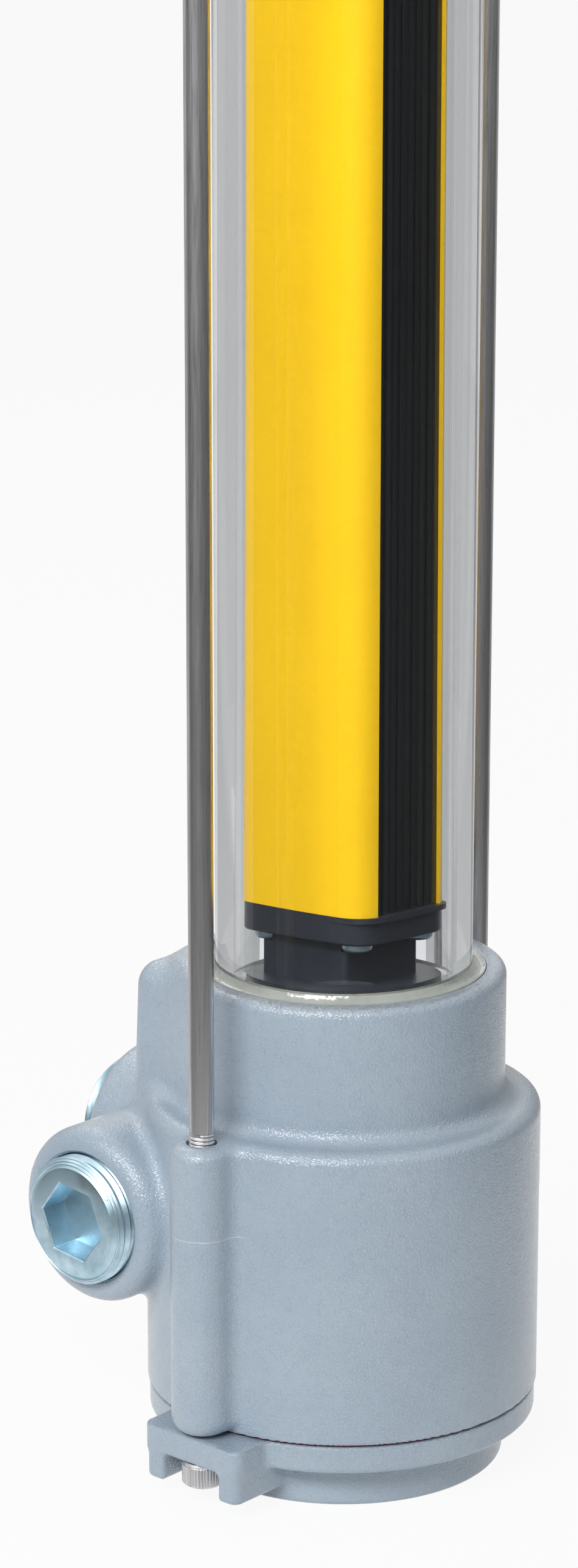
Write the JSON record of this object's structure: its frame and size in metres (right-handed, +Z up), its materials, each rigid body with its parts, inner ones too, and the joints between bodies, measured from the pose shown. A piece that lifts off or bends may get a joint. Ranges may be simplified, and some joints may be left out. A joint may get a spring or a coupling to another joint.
{
  "type": "safety light curtain",
  "caption": "Light curtain stick sealed in a glass tube on a cast terminal housing, with tie rods, plugged cable entries and a top cap.",
  "frame": {"origin": "tube axis, on the plane that the base cover stands on", "axes": "+Z up along the tube, -Y towards the side that the optic window faces, +X towards the right-hand tie rod seen from the front"},
  "size_m": [0.0974, 0.1024, 0.466],
  "materials": {
    "cast_paint": "light blue-grey hammer paint on cast aluminium",
    "gasket": "dark red sheet gasket",
    "stainless": "drawn stainless steel",
    "zinc": "bright zinc plating with a blue tint",
    "tube_glass": "clear borosilicate tube",
    "potting": "grey casting compound, glossy",
    "black_plastic": "moulded black plastic, finely grained",
    "yellow_paint": "satin signal-yellow powder coat",
    "window_plastic": "dark infrared window, smooth",
    "board": "green lacquered board",
    "terminal_plastic": "grey moulded terminal body",
    "brass": "plain brass"
  },
  "bodies": {
    "root": {"terminal_housing": "cast_paint", "base_cover": "cast_paint", "cover_gasket": "gasket", "cover_screws": "stainless", "entry_plug_side": "zinc", "entry_plug_rear": "zinc", "glass_tube": "tube_glass", "lower_potting": "potting", "core_potting": "potting", "lower_holder": "black_plastic", "lower_end_cap": "black_plastic", "lower_cap_screws": "zinc", "curtain_profile": "yellow_paint", "optic_window": "window_plastic", "lens_carrier": "black_plastic", "circuit_board": "board", "upper_end_cap": "black_plastic", "upper_cap_screws": "zinc", "upper_holder": "black_plastic", "upper_potting": "potting", "top_cap": "cast_paint", "tie_rod_left": "stainless", "tie_rod_right": "stainless", "rod_washers": "stainless", "rod_nuts": "stainless", "terminal_block": "terminal_plastic", "terminal_screws": "brass", "block_screws": "zinc", "earth_screw": "brass"}
  },
  "joints": []
}
